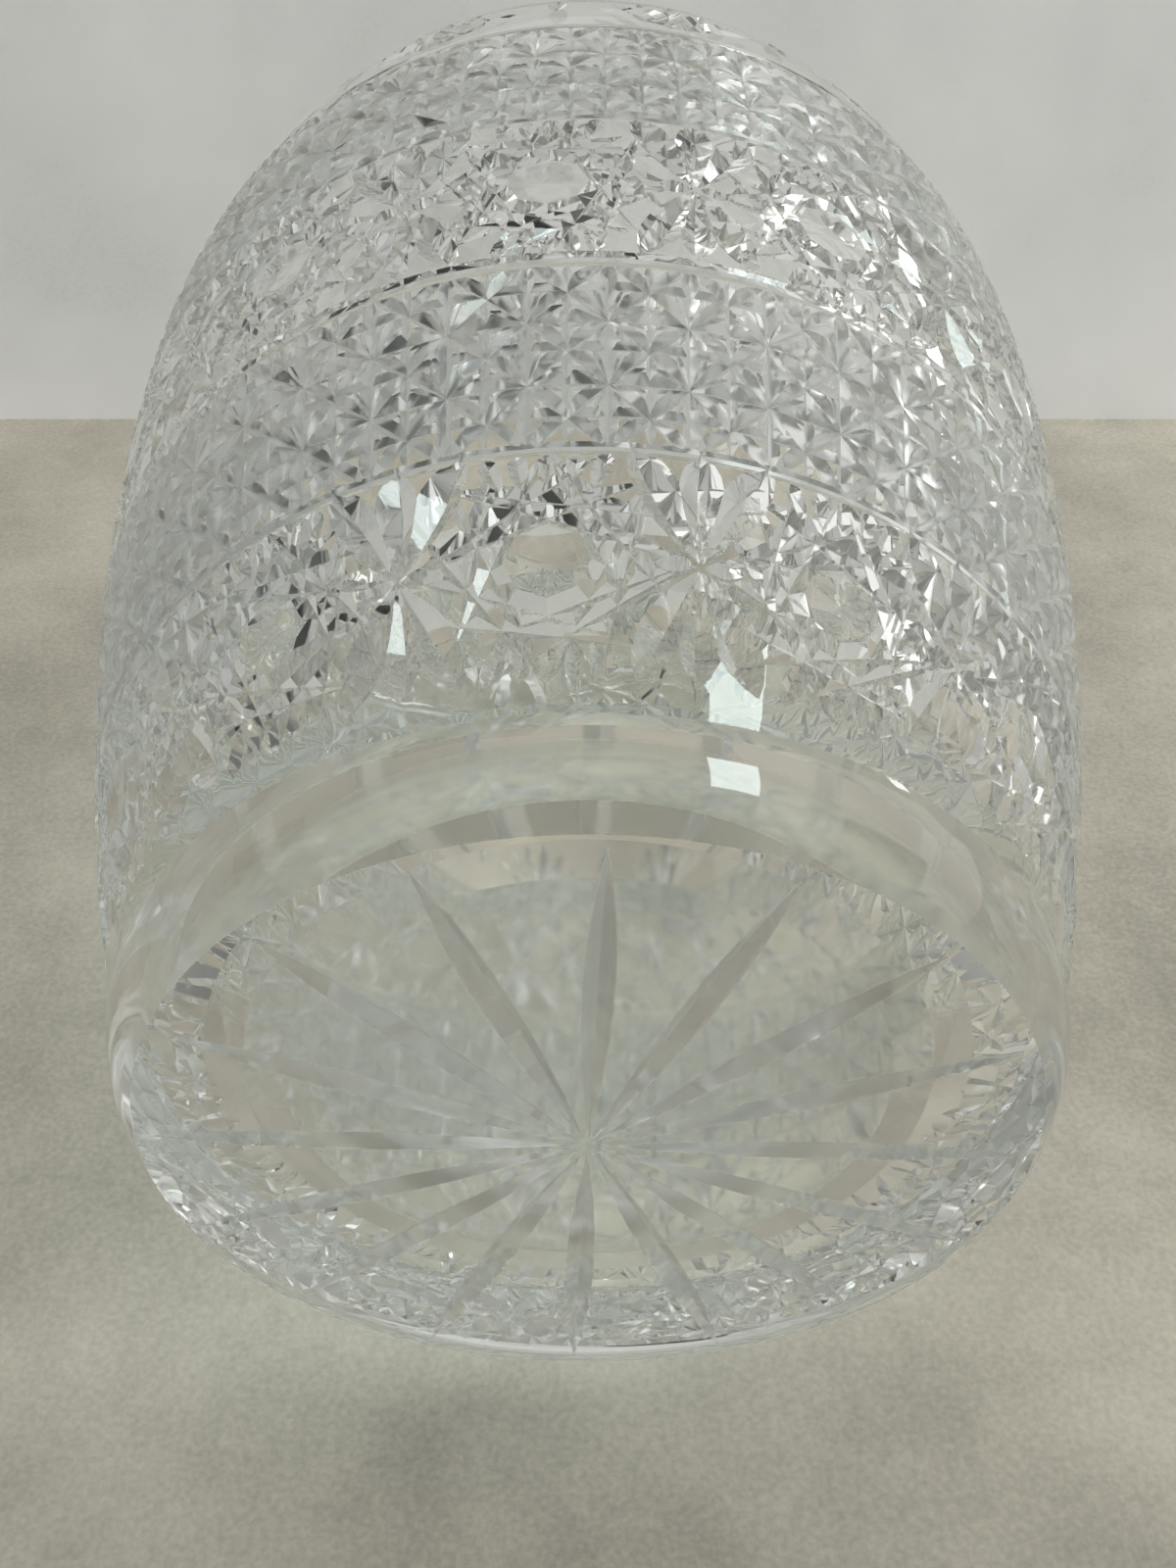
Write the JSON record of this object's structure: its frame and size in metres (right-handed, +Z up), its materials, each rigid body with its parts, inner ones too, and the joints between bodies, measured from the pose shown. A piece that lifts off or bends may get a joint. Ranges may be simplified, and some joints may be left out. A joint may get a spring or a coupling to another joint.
{
  "type": "vase",
  "caption": "Heavy clear cut-glass barrel vase, open at the top, with a star-cut flat foot, bands of large star cuts and lattice cuts, and a rounded lip.",
  "frame": {"origin": "centre of the foot's underside, on the surface that the vase stands on", "axes": "+Z up along the vase's axis, from foot to rim; the cutting repeats every 30 degrees about it on the star bands"},
  "size_m": [0.1671, 0.1671, 0.198],
  "materials": {
    "clear_glass": "polished clear crystal, cut and fire-polished"
  },
  "bodies": {
    "root": {"foot": "clear_glass", "lower_star_band": "clear_glass", "lower_lattice_band": "clear_glass", "upper_star_band": "clear_glass", "upper_lattice_band": "clear_glass", "rim_band": "clear_glass"}
  },
  "joints": []
}
